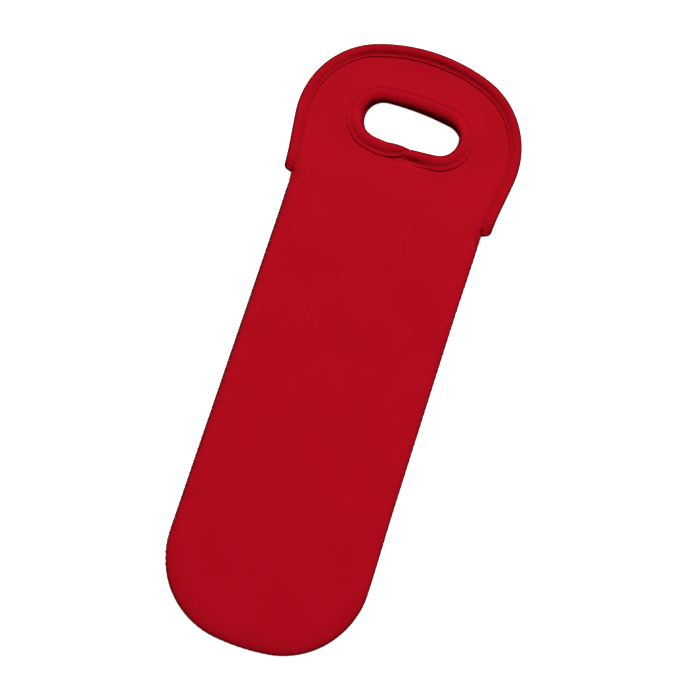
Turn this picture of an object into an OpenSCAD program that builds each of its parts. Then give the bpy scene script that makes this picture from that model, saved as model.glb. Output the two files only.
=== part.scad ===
// Bottle carrier: a soft foam-rubber sleeve with two hand-hole flaps, lying flat and empty.
// X runs across, Y along the length towards the handle, Z up from the surface it lies on.
// The origin is under the middle of the whole carrier, at that surface.

/* [Overall] */
// Full length, from the bottom of the sleeve to the top of the handle
total_l = 440; // [420:1:480]

/* [Sleeve] */
// Thickness of the foam-rubber sheet with its knitted faces
sheet_t = 3; // [2:0.5:4]
// Width across the side seams at the mouth
mouth_w = 141.5; // [130:0.5:150]
// Width across the side seams where the bottom starts to round
base_w = 147.6; // [140:0.2:160]
// Height of the rounded bottom
base_arch_h = 63; // [55:1:70]
// Radius of the bottom at its middle
base_crown_r = 160; // [120:5:300]
// Clear height of the empty pocket between the two panels
pocket_h = 5.8; // [5.5:0.1:12]
// Length over which the back panel rises at the mouth to meet its flap
mouth_rise_l = 26; // [15:1:40]

/* [Side seam] */
// Width of the turned edge inside the sleeve
seam_allowance = 6; // [4:0.5:9]
// Width of the strip where a panel rolls down to the seam
seam_roll_w = 12; // [10:0.5:20]
// Depth of the valley between the two rolled edges
seam_valley = 1.4; // [1:0.1:2]
// Height of the widest point of each rolled edge above the seam
seam_bulge_h = 2.3; // [1.5:0.1:2.8]
// Thickness of the sewing thread
thread_d = 0.5; // [0.3:0.1:0.6]

/* [Handle] */
// Height of the handle over the mouth of the sleeve, where the side seams stop
handle_l = 110; // [100:1:130]
// Widest width of the handle, over its edge tape
head_w = 162; // [156:1:180]
// How far the waist at the mouth lies in from the widest line, on each side
waist_in = 4.2; // [2:0.1:6]
// Height from the handle's widest line to its top
head_arch_h = 62.8; // [56:0.2:70]
// Radius of the handle's top at its middle
head_crown_r = 127; // [100:1:200]
// Radius of the hollow curve at the waist, as a share of the largest that fits there
waist_r_share = 0.592; // [0.3:0.002:0.9]
// Length of the straight end of the edge tape, above the mouth
tape_end_l = 4.5; // [4.2:0.1:8]
// Gap between a flap and the sleeve at the fold
fold_gap = 0.3; // [0.2:0.1:0.6]

/* [Hand hole] */
// Width of the opening inside its tape
hole_w = 71.5; // [60:0.1:85]
// Height of the opening inside its tape
hole_h = 30.5; // [26:0.1:36]
// Radius of the opening's long sides
hole_side_r = 195; // [90:5:250]
// Distance from the top of the handle to the middle of the opening
hole_drop = 55.7; // [45:0.1:60]

/* [Edge tape] */
// Thickness of the folded knitted tape
tape_t = 0.6; // [0.5:0.05:0.7]
// Width of the rim tape on each face
rim_tape_w = 9; // [8:0.5:12]
// Radius of the padded roll along the rim
rim_roll_r = 2.9; // [2.8:0.1:3.2]
// Distance from the rim to its row of stitches
rim_stitch_in = 6.5; // [6:0.1:7.5]
// Width of the hand-hole tape on each face
grip_tape_w = 9.8; // [8:0.1:10]
// Radius of the padded roll round the hand hole
grip_roll_r = 2.5; // [2.4:0.1:2.8]
// Distance from the hand hole to its row of stitches
grip_stitch_in = 6.5; // [5.6:0.1:7.2]
// Radius of the rounded lower corner of the rim tape
tape_corner_r = 3.5; // [2:0.5:4]
// Clearance between the tape and the sheet inside it
tape_clear = 0.1; // [0.05:0.05:0.2]

/* [Tape joint] */
// Length of the lap where one end of the hand-hole tape lies over the other
lap_l = 15; // [13:0.5:17]
// Distance from the middle of the opening to the lap's free end
lap_reach = 4; // [0:0.5:5]
// Extra thickness of the roll at the lap
lap_t = 0.4; // [0.2:0.1:0.4]
// Slant of the lap's free end
lap_slant = 48; // [0:2:50]

/* [Hidden] */

// Places along the length
bottom_y = -total_l / 2;
top_y = total_l / 2;
mouth_y = top_y - handle_l;
flap_y = mouth_y + fold_gap;
rise_y = mouth_y - mouth_rise_l;

// Heights of the layers
sleeve_t = 2 * sheet_t + pocket_h;
seam_z = sleeve_t / 2;
front_flap_z = sleeve_t - sheet_t / 2;
back_flap_z = rim_roll_r;
mouth_rise = back_flap_z - sheet_t / 2;

// Half the height of the folded tape, away from its roll, and of the slot that holds the sheet
tape_half_h = sheet_t / 2 + tape_clear + tape_t;
slot_half_h = sheet_t / 2 + tape_clear;
// Inset from the tape's outer edge to the sheet's own edge
sheet_inset = tape_t + tape_clear;
thread_r = thread_d / 2;
groove_depth = thread_r + tape_clear;
// The turned edges and the seam thread keep this far from the seam's middle
seam_clear = tape_clear;

// Counts of steps along the outlines and round the sections
crown_steps = 5;
shoulder_steps = 12;
waist_steps = 2;
corner_steps = 3;
hole_side_steps = 6;
hole_end_steps = 10;
side_steps = 8;
rise_steps = 5;
roll_steps = 10;
edge_roll_steps = 6;
valley_steps = 3;

// An arch of half width a and height b, whose middle has radius r, runs into its sides on this radius
function shoulder_r(a, b, r) = (a * a + b * b - 2 * b * r) / (2 * (a - r));
// Angle from the arch's axis to the point where the two radii meet
function crown_angle(a, b, r) = atan2(a - shoulder_r(a, b, r), r - b);

// A station is a point of an outline with the direction that leads out of the sheet there, and three changes
// to the section swept through it: how far its outer edge is pulled in, how much it grows and how it slants
function station(point, out, pull = 0, grow = 0, slant = 0) = [point, out, pull, grow, slant];
function turned(angle) = [cos(angle), sin(angle)];
function convex_station(centre, r, angle) = station(centre + r * turned(angle), turned(angle));
function hollow_station(centre, r, angle) = station(centre + r * turned(angle), -turned(angle));
function mirrored(s) = station([-s[0][0], s[0][1]], [-s[1][0], s[1][1]], s[2], s[3], s[4]);
function reversed(list) = [for (i = [1:len(list)]) list[len(list) - i]];
function both_halves(half, middle) = concat(reversed([for (s = half) mirrored(s)]), [middle], half);

// A point of a section, [inset, height, 1 where it grows], at a station
function inset_at(s, inset, width) = s[2] + inset * (1 - s[2] / width);
function swept(s, p, width, roll_r) =
    let (
        inset = inset_at(s, p[0], width) - p[2] * s[3] * (1 - p[0] / width),
        along = s[4] * (width / 2 - p[0]),
        xy = s[0] - inset * s[1] + along * [s[1][1], -s[1][0]]
    )
    [xy[0], xy[1], p[1] * (1 + p[2] * s[3] / roll_r)];

// The handle's outline: crown, shoulder, a leaning side, a hollow waist and a straight end with a round corner
head_half = head_w / 2;
waist_half = head_half - waist_in;
head_shoulder_r = shoulder_r(head_half, head_arch_h, head_crown_r);
head_crown_a = crown_angle(head_half, head_arch_h, head_crown_r);
head_shoulder = [head_half - head_shoulder_r, top_y - head_arch_h];
head_crown = [0, top_y - head_crown_r];
waist_y = flap_y + tape_end_l;
lean_rise = head_shoulder[1] - waist_y;
waist_r_max = (lean_rise * lean_rise + waist_in * waist_in) / (2 * waist_in) - head_shoulder_r;
waist_r = waist_r_share * waist_r_max;
waist_centre = [waist_half + waist_r, waist_y];
lean_run = head_shoulder_r + waist_r;
lean_side = lean_run - waist_in;
head_lean = asin(lean_run / norm([lean_rise, lean_side])) - atan2(lean_side, lean_rise);
rim_half = concat(
    [for (i = [1:crown_steps]) convex_station(head_crown, head_crown_r, 90 - head_crown_a * i / crown_steps)],
    [for (i = [1:shoulder_steps]) let (start = 90 - head_crown_a)
        convex_station(head_shoulder, head_shoulder_r, start - (start + head_lean) * i / shoulder_steps)],
    [for (i = [0:waist_steps])
        hollow_station(waist_centre, waist_r, 180 - head_lean * (1 - i / waist_steps))],
    [for (i = [0:corner_steps]) let (a = 90 * i / corner_steps)
        station([waist_half, flap_y + tape_corner_r * (1 - sin(a))], [1, 0], tape_corner_r * (1 - cos(a)))]
);
rim_stations = both_halves(rim_half, convex_station(head_crown, head_crown_r, 90));

// The hand hole's outline: two long sides and two round ends, with the tape's lap on the lower side
hole_half = hole_w / 2;
hole_end_r = shoulder_r(hole_half, hole_h / 2, hole_side_r);
hole_side_a = crown_angle(hole_half, hole_h / 2, hole_side_r);
hole_y = top_y - hole_drop;
hole_end_x = hole_half - hole_end_r;
hole_side_y = hole_side_r - hole_h / 2;
lap_start = lap_reach - lap_l;
lap_lean = tan(lap_slant);
// Each row is a place along the lower side, the growth there and the slant
lap_rows = [
    [lap_start - lap_l / 4, 0, 0], [lap_start, lap_t, 0],
    [lap_reach, lap_t, lap_lean], [lap_reach + tape_t / 2, 0, lap_lean], [lap_reach + lap_l / 2, 0, 0]
];
function lap_station(row) =
    let (base = hollow_station([0, hole_y + hole_side_y], hole_side_r, 270 + asin(row[0] / hole_side_r)))
    station(base[0], base[1], 0, row[1], row[2]);
hole_stations = concat(
    [for (row = lap_rows) lap_station(row)],
    [for (i = [0:hole_end_steps - 1]) let (reach = 90 - hole_side_a)
        hollow_station([hole_end_x, hole_y], hole_end_r, reach * (2 * i / hole_end_steps - 1))],
    [for (i = [0:hole_side_steps - 1])
        hollow_station([0, hole_y - hole_side_y], hole_side_r, 90 + hole_side_a * (2 * i / hole_side_steps - 1))],
    [for (i = [0:hole_end_steps]) let (reach = 90 - hole_side_a)
        hollow_station([-hole_end_x, hole_y], hole_end_r, 180 + reach * (2 * i / hole_end_steps - 1))]
);

// The sleeve's outline: a rounded bottom and two sides that lean in towards the mouth
base_half = base_w / 2;
mouth_half = mouth_w / 2;
base_corner_r = shoulder_r(base_half, base_arch_h, base_crown_r);
base_crown_a = crown_angle(base_half, base_arch_h, base_crown_r);
base_corner = [base_half - base_corner_r, bottom_y + base_arch_h];
base_crown = [0, bottom_y + base_crown_r];
mouth_run = mouth_half - base_corner[0];
mouth_climb = mouth_y - base_corner[1];
side_lean = asin(base_corner_r / norm([mouth_run, mouth_climb])) - atan2(mouth_run, mouth_climb);
side_foot_y = base_corner[1] + base_corner_r * sin(side_lean);
function side_station(y) =
    station([mouth_half + (mouth_y - y) * tan(side_lean), y], [1 / cos(side_lean), 0]);
sleeve_half = concat(
    [for (i = [1:crown_steps]) convex_station(base_crown, base_crown_r, 270 + base_crown_a * i / crown_steps)],
    [for (i = [1:shoulder_steps]) let (start = base_crown_a - 90)
        convex_station(base_corner, base_corner_r, start + (side_lean - start) * i / shoulder_steps)],
    [for (i = [1:side_steps]) side_station(side_foot_y + (rise_y - side_foot_y) * i / side_steps)],
    [for (i = [1:rise_steps]) side_station(rise_y + mouth_rise_l * i / rise_steps)]
);
sleeve_stations = both_halves(sleeve_half, convex_station(base_crown, base_crown_r, 270));

// Share of the rise at the mouth that is reached at y, easing in and out
function rise_share(y) =
    let (t = max(0, min(1, (y - rise_y) / mouth_rise_l))) t * t * (3 - 2 * t);

// Section of a sleeve panel's edge as [inset, height over the seam, share of the panel's rise that it takes]
function edge_section(top, inside) = concat(
    [[seam_roll_w, inside, 1], [seam_allowance + sheet_t / 4, inside, 1], [seam_allowance, seam_clear, 0]],
    [for (i = [0:valley_steps]) let (t = 90 * (1 - i / valley_steps))
        [seam_valley * (1 - cos(t)), max(seam_clear, seam_bulge_h * (1 - sin(t))), 0]],
    [for (i = [1:edge_roll_steps]) let (t = 90 * i / edge_roll_steps)
        [seam_roll_w * (1 - cos(t)), seam_bulge_h + (top - seam_bulge_h) * sin(t), sin(t)]]
);

// One sleeve panel over the seam plane: a crowned tray with its turned edge inside, which rises near the mouth
module sleeve_panel(rise) {
    section = edge_section(sleeve_t / 2, pocket_h / 2);
    count = len(section);
    outer = count - 1;
    half_count = len(sleeve_half);
    last = half_count - 1;
    edge_points = [
        for (s = sleeve_stations) for (p = section)
            let (xy = s[0] - p[0] * s[1]) [xy[0], xy[1], p[1] - rise * p[2] * rise_share(xy[1])]
    ];
    // A row of points up the middle, inside and then outside
    spine_points = [
        for (p = [section[0], section[outer]]) for (s = sleeve_half)
            let (y = s[0][1] - seam_roll_w * s[1][1]) [0, y, p[1] - rise * rise_share(y)]
    ];
    spine_in = len(edge_points);
    spine_out = spine_in + half_count;
    middle = half_count * count;
    function left(i) = (half_count - 1 - i) * count;
    function right(i) = (half_count + 1 + i) * count;
    edge_faces = [
        for (i = [0:2 * half_count - 1]) for (j = [0:count - 2])
            let (a = i * count + j, b = a + count) each [[a, a + 1, b + 1], [a, b + 1, b]]
    ];
    inner_faces = concat(
        [[left(0), middle, spine_in], [spine_in, middle, right(0)]],
        [for (i = [0:last - 1]) each [
            [left(i), spine_in + i, spine_in + i + 1], [left(i), spine_in + i + 1, left(i + 1)],
            [spine_in + i, right(i), right(i + 1)], [spine_in + i, right(i + 1), spine_in + i + 1]
        ]]
    );
    outer_faces = concat(
        [[left(0) + outer, spine_out, middle + outer], [spine_out, right(0) + outer, middle + outer]],
        [for (i = [0:last - 1]) each [
            [left(i) + outer, spine_out + i + 1, spine_out + i],
            [left(i) + outer, left(i + 1) + outer, spine_out + i + 1],
            [spine_out + i, right(i + 1) + outer, right(i) + outer],
            [spine_out + i, spine_out + i + 1, right(i + 1) + outer]
        ]]
    );
    mouth_faces = [
        [for (j = [1:count]) left(last) + (1 - j + count) % count],
        [for (j = [1:count]) right(last) + j % count],
        [left(last) + outer, left(last), spine_in + last, spine_out + last],
        [spine_out + last, spine_in + last, right(last), right(last) + outer]
    ];
    polyhedron(concat(edge_points, spine_points), concat(edge_faces, inner_faces, outer_faces, mouth_faces));
}

// Sweeps a section through stations. Seen from above, an open row of stations runs clockwise round the sheet,
// and a closed one runs anticlockwise round its hole. The caps are the section in simple pieces, for its ends
module sweep(stations, section, width, roll_r, caps = []) {
    count = len(section);
    rows = len(stations);
    last = (rows - 1) * count;
    points = [for (s = stations) for (p = section) swept(s, p, width, roll_r)];
    walls = [
        for (i = [0:len(caps) > 0 ? rows - 2 : rows - 1]) for (j = [0:count - 1])
            let (a = i * count, b = ((i + 1) % rows) * count, k = (j + 1) % count)
                each [[a + j, a + k, b + k], [a + j, b + k, b + j]]
    ];
    ends = [for (cap = caps) each [reversed(cap), [for (j = cap) last + j]]];
    polyhedron(points, concat(walls, ends));
}

// Section of a folded tape: a padded roll with a neck behind it, a groove for the stitches on each face,
// a thin edge and a slot for the sheet
function tape_section(roll_r, width, stitch_in) =
    let (
        neck_h = tape_half_h - groove_depth / 2,
        edge_h = slot_half_h + tape_t / 2,
        roll_a = asin(neck_h / roll_r)
    )
    concat(
        [[width, edge_h, 1], [stitch_in + groove_depth, tape_half_h, 1],
            [stitch_in, tape_half_h - groove_depth, 1], [stitch_in - groove_depth, tape_half_h, 1]],
        [for (i = [0:roll_steps]) let (p = turned(roll_a + (360 - 2 * roll_a) * i / roll_steps))
            [roll_r * (1 + p[0]), roll_r * p[1], 1]],
        [[stitch_in - groove_depth, -tape_half_h, 1], [stitch_in, groove_depth - tape_half_h, 1],
            [stitch_in + groove_depth, -tape_half_h, 1], [width, -edge_h, 1]],
        [[width, -slot_half_h, 0], [tape_t, -slot_half_h, 0], [tape_t, slot_half_h, 0], [width, slot_half_h, 0]]
    );

// The same section in simple pieces: two arms, each with its neck, and the two halves of the roll
roll_first = 4;
roll_middle = roll_first + roll_steps / 2;
roll_last = roll_first + roll_steps;
slot_first = roll_last + 5;
tape_caps = [
    [slot_first + 3, 0, 1, 2], [2, 3, roll_first], [slot_first + 2, slot_first + 3, 2, roll_first],
    concat([slot_first + 2], [for (i = [roll_first:roll_middle]) i], [slot_first + 1]),
    concat([slot_first + 1], [for (i = [roll_middle:roll_last]) i]),
    [slot_first + 1, roll_last, roll_last + 2, slot_first], [roll_last, roll_last + 1, roll_last + 2],
    [slot_first, roll_last + 2, roll_last + 3, roll_last + 4]
];

// Section of a thread at an inset and height
function thread_section(inset, height) =
    [for (side = [turned(0), turned(90), turned(180), turned(270)])
        [inset + thread_r * side[0], height + thread_r * side[1], 1]];
thread_caps = [[0, 1, 2, 3]];

module rim_binding() {
    sweep(rim_stations, tape_section(rim_roll_r, rim_tape_w, rim_stitch_in), rim_tape_w, rim_roll_r, tape_caps);
}

module rim_thread() {
    for (height = [-tape_half_h, tape_half_h])
        sweep(rim_stations, thread_section(rim_stitch_in, height), rim_tape_w, rim_roll_r, thread_caps);
}

module grip_binding() {
    sweep(hole_stations, tape_section(grip_roll_r, grip_tape_w, grip_stitch_in), grip_tape_w, grip_roll_r);
}

module grip_thread() {
    for (height = [-tape_half_h, tape_half_h])
        sweep(hole_stations, thread_section(grip_stitch_in, height), grip_tape_w, grip_roll_r);
}

// The sheet of a flap: its edges lie in the slots of the two tapes
module handle_panel() {
    translate([0, 0, -sheet_t / 2]) linear_extrude(height = sheet_t) difference() {
        polygon([for (s = rim_stations) s[0] - inset_at(s, sheet_inset, rim_tape_w) * s[1]]);
        polygon([for (s = hole_stations) s[0] - sheet_inset * s[1]]);
    }
}

module front_flap() {
    translate([0, 0, front_flap_z]) children();
}

module back_flap() {
    translate([0, 0, back_flap_z]) children();
}

module front_sleeve_panel() {
    color([0.67, 0.05, 0.1]) translate([0, 0, seam_z]) sleeve_panel(0);
}

module back_sleeve_panel() {
    color([0.6, 0.04, 0.09]) translate([0, 0, seam_z]) mirror([0, 0, 1]) sleeve_panel(mouth_rise);
}

// The seam thread runs in the valley between the rolled edges, down one side, round the bottom and up the other
module side_seam_thread() {
    color([0.5, 0.03, 0.07]) translate([0, 0, seam_z])
        sweep(reversed(sleeve_stations), thread_section(seam_valley / 3, 0), seam_roll_w, seam_roll_w,
            thread_caps);
}

module front_handle_panel() { color([0.67, 0.05, 0.1]) front_flap() handle_panel(); }
module front_rim_binding() { color([0.58, 0.03, 0.07]) front_flap() rim_binding(); }
module front_rim_thread() { color([0.45, 0.03, 0.06]) front_flap() rim_thread(); }
module front_grip_binding() { color([0.58, 0.03, 0.07]) front_flap() grip_binding(); }
module front_grip_thread() { color([0.45, 0.03, 0.06]) front_flap() grip_thread(); }

module back_handle_panel() { color([0.6, 0.04, 0.09]) back_flap() handle_panel(); }
module back_rim_binding() { color([0.58, 0.03, 0.07]) back_flap() rim_binding(); }
module back_rim_thread() { color([0.45, 0.03, 0.06]) back_flap() rim_thread(); }
module back_grip_binding() { color([0.58, 0.03, 0.07]) back_flap() grip_binding(); }
module back_grip_thread() { color([0.45, 0.03, 0.06]) back_flap() grip_thread(); }

front_sleeve_panel();
back_sleeve_panel();
side_seam_thread();
front_handle_panel();
front_rim_binding();
front_rim_thread();
front_grip_binding();
front_grip_thread();
back_handle_panel();
back_rim_binding();
back_rim_thread();
back_grip_binding();
back_grip_thread();
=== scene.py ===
import math

import bpy
import numpy as np
from mathutils.geometry import delaunay_2d_cdt
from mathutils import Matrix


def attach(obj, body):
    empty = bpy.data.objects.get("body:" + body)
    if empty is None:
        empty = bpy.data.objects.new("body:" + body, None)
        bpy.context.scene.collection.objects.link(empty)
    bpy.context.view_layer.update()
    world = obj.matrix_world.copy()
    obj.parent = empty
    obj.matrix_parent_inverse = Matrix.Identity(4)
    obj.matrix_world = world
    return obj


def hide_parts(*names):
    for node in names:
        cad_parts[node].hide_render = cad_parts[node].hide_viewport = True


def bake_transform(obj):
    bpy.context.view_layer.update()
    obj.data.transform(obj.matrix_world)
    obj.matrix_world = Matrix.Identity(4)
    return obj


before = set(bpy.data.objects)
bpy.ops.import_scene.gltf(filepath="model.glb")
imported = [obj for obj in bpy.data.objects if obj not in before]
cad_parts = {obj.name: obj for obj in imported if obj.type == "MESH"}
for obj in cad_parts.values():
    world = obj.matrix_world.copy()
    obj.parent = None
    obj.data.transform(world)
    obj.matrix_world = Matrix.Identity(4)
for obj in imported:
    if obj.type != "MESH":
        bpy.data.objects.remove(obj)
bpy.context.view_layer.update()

MM = 0.001
TURN = 2 * math.pi

# Sizes of the carrier, the same as in the part's source
TOTAL_L = 440 * MM
HANDLE_L = 110 * MM
SHEET_T = 3 * MM
MOUTH_W = 141.5 * MM
BASE_W = 147.6 * MM
BASE_ARCH_H = 63 * MM
BASE_CROWN_R = 160 * MM
POCKET_H = 5.8 * MM
MOUTH_RISE_L = 26 * MM
HEAD_W = 162 * MM
WAIST_IN = 4.2 * MM
HEAD_ARCH_H = 62.8 * MM
HEAD_CROWN_R = 127 * MM
WAIST_R_SHARE = 0.592
TAPE_END_L = 4.5 * MM
FOLD_GAP = 0.3 * MM
HOLE_W = 71.5 * MM
HOLE_H = 30.5 * MM
HOLE_SIDE_R = 195 * MM
HOLE_DROP = 55.7 * MM
TAPE_T = 0.6 * MM
TAPE_CLEAR = 0.1 * MM
RIM_TAPE_W = 9 * MM
RIM_ROLL_R = 2.9 * MM
RIM_STITCH_IN = 6.5 * MM
GRIP_TAPE_W = 9.8 * MM
GRIP_ROLL_R = 2.5 * MM
GRIP_STITCH_IN = 6.5 * MM

# Sizes that only the scene has: how far in a tape's crest is, how much further in than on the solids its
# stitches are, and the rim tape's round corners
RIM_CREST_IN = 2.1 * MM
RIM_SPREAD = 0.4 * MM
GRIP_CREST_IN = 2.9 * MM
GRIP_SPREAD = 1.2 * MM
TAPE_CORNER_R = 2.2 * MM
RIM_SEWN_IN = RIM_STITCH_IN + RIM_SPREAD
GRIP_SEWN_IN = GRIP_STITCH_IN + GRIP_SPREAD

BOTTOM_Y = -TOTAL_L / 2
TOP_Y = TOTAL_L / 2
MOUTH_Y = TOP_Y - HANDLE_L
FLAP_Y = MOUTH_Y + FOLD_GAP
RISE_Y = MOUTH_Y - MOUTH_RISE_L
SLEEVE_T = 2 * SHEET_T + POCKET_H
SEAM_Z = SLEEVE_T / 2
FLAP_Z = {"front": SLEEVE_T - SHEET_T / 2, "back": RIM_ROLL_R}
MOUTH_RISE = {"front": 0, "back": FLAP_Z["back"] - SHEET_T / 2}
HOLE_Y = TOP_Y - HOLE_DROP
SHEET_INSET = TAPE_T + TAPE_CLEAR
SLOT_HALF_H = SHEET_T / 2 + TAPE_CLEAR

# Sewing: stitch lengths on the tapes and the side seam, and the radii of their threads
TAPE_STITCH = 3.2 * MM
SEAM_STITCH = 4.47 * MM
THREAD_R = 0.25 * MM
SEAM_THREAD_R = 0.3 * MM

# Fineness of the meshes: steps of an outline, parts of a stitch and sides of a thread
LINE_STEP = 0.2 * MM
STITCH_PARTS = 5
THREAD_SIDES = 8


def smooth(value, low, high):
    """0 below low, 1 above high, and eased between them."""
    t = np.clip((value - low) / (high - low), 0, 1)
    return t * t * (3 - 2 * t)


def hump(value, start, full, fade, end):
    """0 up to start, 1 from full to fade, and 0 again from end."""
    return smooth(value, start, full) * (1 - smooth(value, fade, end))


def bell(value, centre, width):
    """1 at the centre, and about a third at a width from it."""
    return np.exp(-(((value - centre) / width) ** 2))


def mix(a, b, share):
    return a + (b - a) * share


def waves(seed, count, longest, shortest, turned=False):
    """A smooth random line or, of turned waves, surface, from about -1 to 1."""
    rng = np.random.default_rng(seed)
    lengths = np.exp(rng.uniform(math.log(shortest), math.log(longest), count))
    angles = rng.uniform(0, TURN, count) if turned else np.zeros(count)
    phases = rng.uniform(0, TURN, count)
    sizes = rng.uniform(0.4, 1, count)
    sizes /= np.sqrt((sizes**2).sum())

    def at(x, y=0.0):
        along = np.asarray(x)[..., None] * np.cos(angles) + np.asarray(y)[..., None] * np.sin(angles)
        return (sizes * np.sin(TURN * along / lengths + phases)).sum(-1)

    return at


# Outlines in the plane


def arc(centre, r, start, end):
    """Points of an arc, from one angle to another."""
    count = max(4, int(abs(end - start) * r / LINE_STEP))
    a = np.linspace(start, end, count + 1)
    return np.stack([centre[0] + r * np.cos(a), centre[1] + r * np.sin(a)], 1)


def arch(half_w, h, crown_r):
    """Shoulder radius and half the crown's angle, for an arch h high with upright sides."""
    shoulder_r = (half_w * half_w + h * h - 2 * h * crown_r) / (2 * (half_w - crown_r))
    return shoulder_r, math.atan2(half_w - shoulder_r, crown_r - h)


def mirrored(points):
    """The left half of a line, from its right half, in reverse."""
    return points[::-1] * np.array([-1.0, 1.0])


def unit(v):
    return v / np.linalg.norm(v, axis=1)[:, None]


def distances(points):
    """The distance along a line at each of its points."""
    return np.r_[0, np.cumsum(np.linalg.norm(np.diff(points, axis=0), axis=1))]


def resampled(points, step):
    """The line with points at equal steps, and the distance at each."""
    same_place = 1e-7
    gaps = np.linalg.norm(np.diff(points, axis=0), axis=1)
    points = points[np.r_[True, gaps > same_place]]
    s = distances(points)
    at = np.linspace(0, s[-1], max(2, int(round(s[-1] / step))) + 1)
    return np.stack([np.interp(at, s, points[:, k]) for k in (0, 1)], 1), at


def directions(points, closed):
    """The direction of travel at each point, and the direction to its right."""
    if closed:
        d = unit(np.roll(points, -1, 0) - np.roll(points, 1, 0))
    else:
        d = unit(np.gradient(points, axis=0))
    return d, np.stack([d[:, 1], -d[:, 0]], 1)


# Right half of the handle's outline, from the notch up to the top
head_half = HEAD_W / 2
waist_half = head_half - WAIST_IN
head_shoulder_r, head_crown_a = arch(head_half, HEAD_ARCH_H, HEAD_CROWN_R)
head_shoulder = (head_half - head_shoulder_r, TOP_Y - HEAD_ARCH_H)
waist_y = FLAP_Y + TAPE_END_L
lean_rise = head_shoulder[1] - waist_y
waist_r = WAIST_R_SHARE * ((lean_rise**2 + WAIST_IN**2) / (2 * WAIST_IN) - head_shoulder_r)
waist_centre = (waist_half + waist_r, waist_y)
lean_run = head_shoulder_r + waist_r
lean_side = lean_run - WAIST_IN
head_lean = math.asin(lean_run / math.hypot(lean_rise, lean_side)) - math.atan2(lean_side, lean_rise)
head_right = np.concatenate([
    [[waist_half, FLAP_Y]],
    arc(waist_centre, waist_r, math.pi, math.pi - head_lean),
    arc(head_shoulder, head_shoulder_r, -head_lean, math.pi / 2 - head_crown_a),
    arc((0, TOP_Y - HEAD_CROWN_R), HEAD_CROWN_R, math.pi / 2 - head_crown_a, math.pi / 2),
])

# Right half of the sleeve's outline, from the middle of the bottom up to the mouth
base_half = BASE_W / 2
mouth_half = MOUTH_W / 2
base_corner_r, base_crown_a = arch(base_half, BASE_ARCH_H, BASE_CROWN_R)
base_corner = (base_half - base_corner_r, BOTTOM_Y + BASE_ARCH_H)
mouth_run = mouth_half - base_corner[0]
mouth_climb = MOUTH_Y - base_corner[1]
side_lean = math.asin(base_corner_r / math.hypot(mouth_run, mouth_climb))
side_lean -= math.atan2(mouth_run, mouth_climb)
sleeve_right = np.concatenate([
    arc((0, BOTTOM_Y + BASE_CROWN_R), BASE_CROWN_R, 1.5 * math.pi, 1.5 * math.pi + base_crown_a),
    arc(base_corner, base_corner_r, base_crown_a - math.pi / 2, side_lean),
    [[mouth_half, MOUTH_Y]],
])

# The hand hole's outline, clockwise from the middle of its lower side
hole_half = HOLE_W / 2
hole_end_r, hole_side_a = arch(hole_half, HOLE_H / 2, HOLE_SIDE_R)
hole_end = (hole_half - hole_end_r, HOLE_Y)
hole_side_y = HOLE_SIDE_R - HOLE_H / 2
hole_right = np.concatenate([
    arc((0, HOLE_Y + hole_side_y), HOLE_SIDE_R, 1.5 * math.pi, 1.5 * math.pi + hole_side_a),
    arc(hole_end, hole_end_r, hole_side_a - math.pi / 2, math.pi / 2 - hole_side_a),
    arc((0, HOLE_Y - hole_side_y), HOLE_SIDE_R, math.pi / 2 - hole_side_a, math.pi / 2),
])
hole_loop = np.concatenate([mirrored(hole_right)[::-1], hole_right[::-1]])

# The flaps lie a little askew, so their holes don't quite match. Each is moved and turned, and the swollen
# tape leaves only a share of its width and height open.
HOLE_MOVED = {"front": (-0.55 * MM, 0.8 * MM), "back": (1.8 * MM, -0.6 * MM)}
HOLE_TURNED = {"front": 0.0, "back": math.radians(-3)}
HOLE_SHARES = {"front": (0.983, 0.945), "back": (0.99, 0.98)}


def hole_of(side):
    """The outline of one flap's hand hole, where it really lies."""
    c, s = math.cos(HOLE_TURNED[side]), math.sin(HOLE_TURNED[side])
    middle = np.array([0, HOLE_Y])
    loop = (hole_loop - middle) * HOLE_SHARES[side]
    return loop @ np.array([[c, s], [-s, c]]) + middle + HOLE_MOVED[side]


# Meshes


def in_scene(name, data):
    """A new object in the scene."""
    made = bpy.data.objects.new(name, data)
    bpy.context.scene.collection.objects.link(made)
    return made


def make_mesh(name, shape, material):
    """A smooth mesh from points, faces, places on the piece's own cloth, and painted shade."""
    points, faces, cloth, *dark = shape
    mesh = bpy.data.meshes.new(name)
    mesh.from_pydata(points.reshape(-1, 3).tolist(), [], faces)
    mesh.validate()
    mesh.polygons.foreach_set("use_smooth", np.ones(len(mesh.polygons), bool))
    held = mesh.attributes.new("cloth", "FLOAT_VECTOR", "POINT")
    held.data.foreach_set("vector", cloth.astype(np.float32).ravel())
    if dark:
        shown = mesh.attributes.new("dark", "FLOAT", "POINT")
        shown.data.foreach_set("value", dark[0].astype(np.float32).ravel())
    mesh.materials.append(material)
    mesh.update()
    piece = in_scene(name, mesh)
    return piece


def grid_faces(rows, columns, closed_rows, closed_columns, first=0):
    """Faces of a grid of points, each row after the other."""
    r = np.arange(rows if closed_rows else rows - 1)
    c = np.arange(columns if closed_columns else columns - 1)
    r, c = (v.ravel() for v in np.meshgrid(r, c, indexing="ij"))
    r1, c1 = (r + 1) % rows, (c + 1) % columns
    quads = np.stack([r * columns + c, r * columns + c1, r1 * columns + c1, r1 * columns + c], 1)
    return (quads + first).tolist()


def cloth_of(ring, across, along):
    """Places on a piece's own cloth, for rows of points."""
    cloth = np.zeros(ring.shape)
    cloth[..., 0] = across
    cloth[..., 1] = along
    return cloth


def rows_in(points, out, inset, height):
    """Rows of points from an edge inwards, for arrays of stations by columns."""
    xy = points[:, None] - inset[:, :, None] * out[:, None]
    return np.concatenate([xy, height[:, :, None]], 2)


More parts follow.
